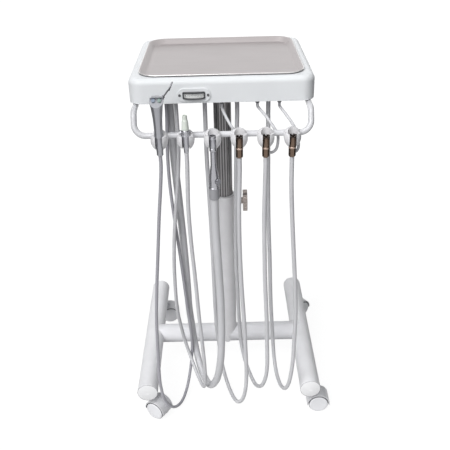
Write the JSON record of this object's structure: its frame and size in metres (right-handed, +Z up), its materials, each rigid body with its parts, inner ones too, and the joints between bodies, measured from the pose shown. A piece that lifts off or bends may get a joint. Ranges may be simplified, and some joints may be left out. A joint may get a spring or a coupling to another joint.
{
  "type": "portable dental unit",
  "caption": "Portable dental delivery cart: H-shaped caster base, telescoping post with clamping knob, white head with tray and gauge, and a bar of handpiece holders with looped hoses.",
  "frame": {"origin": "on the floor, in the middle of the outline of the rigid parts (the box without the free hoses)", "axes": "+Z up along the post, -Y to the front where the handpiece holders are, +X to the right of someone facing the holders"},
  "size_m": [0.492, 0.4912, 0.8805],
  "materials": {
    "leg_paint": "gloss",
    "column_steel": "satin",
    "cap_plastic": "gloss",
    "bush_plastic": "matte",
    "boss_steel": "satin",
    "stem_steel": "satin",
    "knob_metal": "satin",
    "hood_plastic": "gloss",
    "wheel_plastic": "satin",
    "mast_aluminium": "anodised satin",
    "foot_plastic": "matte",
    "flange_steel": "satin",
    "base_paint": "satin",
    "shell_plastic": "gloss",
    "screw_steel": "satin",
    "block_aluminium": "machined",
    "inlet_plastic": "matte",
    "gland_plastic": "matte",
    "socket_metal": "satin",
    "bar_paint": "gloss",
    "bezel_plastic": "satin",
    "lens_clear": "clear",
    "housing_plastic": "matte",
    "dial_white": "matte",
    "needle_black": "matte",
    "tray_steel": "brushed",
    "holder_plastic": "gloss",
    "syringe_metal": "satin",
    "tip_metal": "polished",
    "button_blue": "gloss",
    "button_green": "gloss",
    "valve_chrome": "polished",
    "tip_plastic": "translucent",
    "cuff_rubber": "matte",
    "connector_metal": "polished",
    "hose_rubber": "satin",
    "signal_rubber": "satin"
  },
  "bodies": {
    "base": {"leg_left": "leg_paint", "leg_right": "leg_paint", "cross_tube": "leg_paint", "column_tube": "column_steel", "leg_caps": "cap_plastic", "guide_bush": "bush_plastic", "clamp_boss": "boss_steel", "caster_stems": "stem_steel"},
    "knob": {"clamp_screw": "knob_metal"},
    "caster_fl": {"hood_fl": "hood_plastic"},
    "caster_fr": {"hood_fr": "hood_plastic"},
    "caster_rl": {"hood_rl": "hood_plastic"},
    "caster_rr": {"hood_rr": "hood_plastic"},
    "wheel_fl": {"wheels_fl": "wheel_plastic"},
    "wheel_fr": {"wheels_fr": "wheel_plastic"},
    "wheel_rl": {"wheels_rl": "wheel_plastic"},
    "wheel_rr": {"wheels_rr": "wheel_plastic"},
    "tray": {"tray": "tray_steel"},
    "needle": {"gauge_needle": "needle_black"},
    "air_button": {"air_button": "button_blue"},
    "water_button": {"water_button": "button_green"},
    "syringe_tip": {"syringe_tip": "tip_metal"},
    "hve_lever": {"hve_lever": "valve_chrome"},
    "ejector_lever": {"ejector_lever": "valve_chrome"},
    "head": {"mast_tube": "mast_aluminium", "mast_foot": "foot_plastic", "mast_flange": "flange_steel", "head_base": "base_paint", "head_shell": "shell_plastic", "head_screws": "screw_steel", "control_block": "block_aluminium", "supply_inlet": "inlet_plastic", "hose_glands": "gland_plastic", "bar_sockets": "socket_metal", "holder_bar": "bar_paint", "gauge_bezel": "bezel_plastic", "gauge_lens": "lens_clear", "gauge_housing": "housing_plastic", "gauge_dial": "dial_white", "holder_1": "holder_plastic", "holder_2": "holder_plastic", "holder_3": "holder_plastic", "holder_4": "holder_plastic", "holder_5": "holder_plastic", "holder_6": "holder_plastic", "syringe_body": "syringe_metal", "ejector_valve": "valve_chrome", "ejector_tip": "tip_plastic", "hve_valve": "valve_chrome", "hve_cuff": "cuff_rubber", "connector_1": "connector_metal", "connector_2": "connector_metal", "connector_3": "connector_metal", "hose_syringe": "hose_rubber", "hose_ejector": "hose_rubber", "hose_hve": "hose_rubber", "hose_tool_1": "hose_rubber", "hose_tool_2": "hose_rubber", "hose_tool_3": "hose_rubber", "signal_tubes": "signal_rubber"}
  },
  "joints": [
    {"name": "mast_slide", "type": "slide", "parent": "base", "child": "head", "axis": [0, 0, 1], "range_m": [0, 0.22]},
    {"name": "clamp_turn", "type": "hinge", "parent": "base", "child": "knob", "pos_m": [0.03084, 0.00669, 0.511], "axis": [1, 0, 0], "range_deg": [0, 540]},
    {"name": "swivel_fl", "type": "hinge", "parent": "base", "child": "caster_fl", "pos_m": [-0.22056, -0.19331, 0.06], "axis": [0, 0, 1], "continuous": true},
    {"name": "swivel_fr", "type": "hinge", "parent": "base", "child": "caster_fr", "pos_m": [0.18944, -0.19331, 0.06], "axis": [0, 0, 1], "continuous": true},
    {"name": "swivel_rl", "type": "hinge", "parent": "base", "child": "caster_rl", "pos_m": [-0.22056, 0.19769, 0.06], "axis": [0, 0, 1], "continuous": true},
    {"name": "swivel_rr", "type": "hinge", "parent": "base", "child": "caster_rr", "pos_m": [0.18944, 0.19769, 0.06], "axis": [0, 0, 1], "continuous": true},
    {"name": "roll_fl", "type": "hinge", "parent": "caster_fl", "child": "wheel_fl", "pos_m": [-0.19851, -0.20709, 0.025], "axis": [0.5299, 0.848, 0], "continuous": true},
    {"name": "roll_fr", "type": "hinge", "parent": "caster_fr", "child": "wheel_fr", "pos_m": [0.21544, -0.19331, 0.025], "axis": [0, 1, 0], "continuous": true},
    {"name": "roll_rl", "type": "hinge", "parent": "caster_rl", "child": "wheel_rl", "pos_m": [-0.1947, 0.2004, 0.025], "axis": [-0.1045, 0.9945, 0], "continuous": true},
    {"name": "roll_rr", "type": "hinge", "parent": "caster_rr", "child": "wheel_rr", "pos_m": [0.21074, 0.2126, 0.025], "axis": [-0.5736, 0.8192, 0], "continuous": true},
    {"name": "tray_lift", "type": "slide", "parent": "head", "child": "tray", "axis": [0, 0, 1], "range_m": [0, 0.06]},
    {"name": "needle_turn", "type": "hinge", "parent": "head", "child": "needle", "pos_m": [-0.07256, -0.12542, 0.8425], "axis": [0, 0, 1], "range_deg": [0, 42], "stiffness_Nm_per_rad": 0.0005},
    {"name": "air_press", "type": "slide", "parent": "head", "child": "air_button", "axis": [0, 0.6428, -0.766], "range_m": [0, 0.002], "stiffness_N_per_m": 600},
    {"name": "water_press", "type": "slide", "parent": "head", "child": "water_button", "axis": [0, 0.6428, -0.766], "range_m": [0, 0.002], "stiffness_N_per_m": 600},
    {"name": "tip_swivel", "type": "hinge", "parent": "head", "child": "syringe_tip", "pos_m": [-0.13156, -0.22131, 0.856], "axis": [0.4853, 0.7473, 0.454], "continuous": true},
    {"name": "hve_lever_turn", "type": "hinge", "parent": "head", "child": "hve_lever", "pos_m": [-0.03636, -0.22931, 0.68], "axis": [0.766, -0.6428, 0], "range_deg": [0, 90]},
    {"name": "ejector_lever_turn", "type": "hinge", "parent": "head", "child": "ejector_lever", "pos_m": [-0.08996, -0.22931, 0.7865], "axis": [1, 0, 0], "range_deg": [0, 90]}
  ]
}
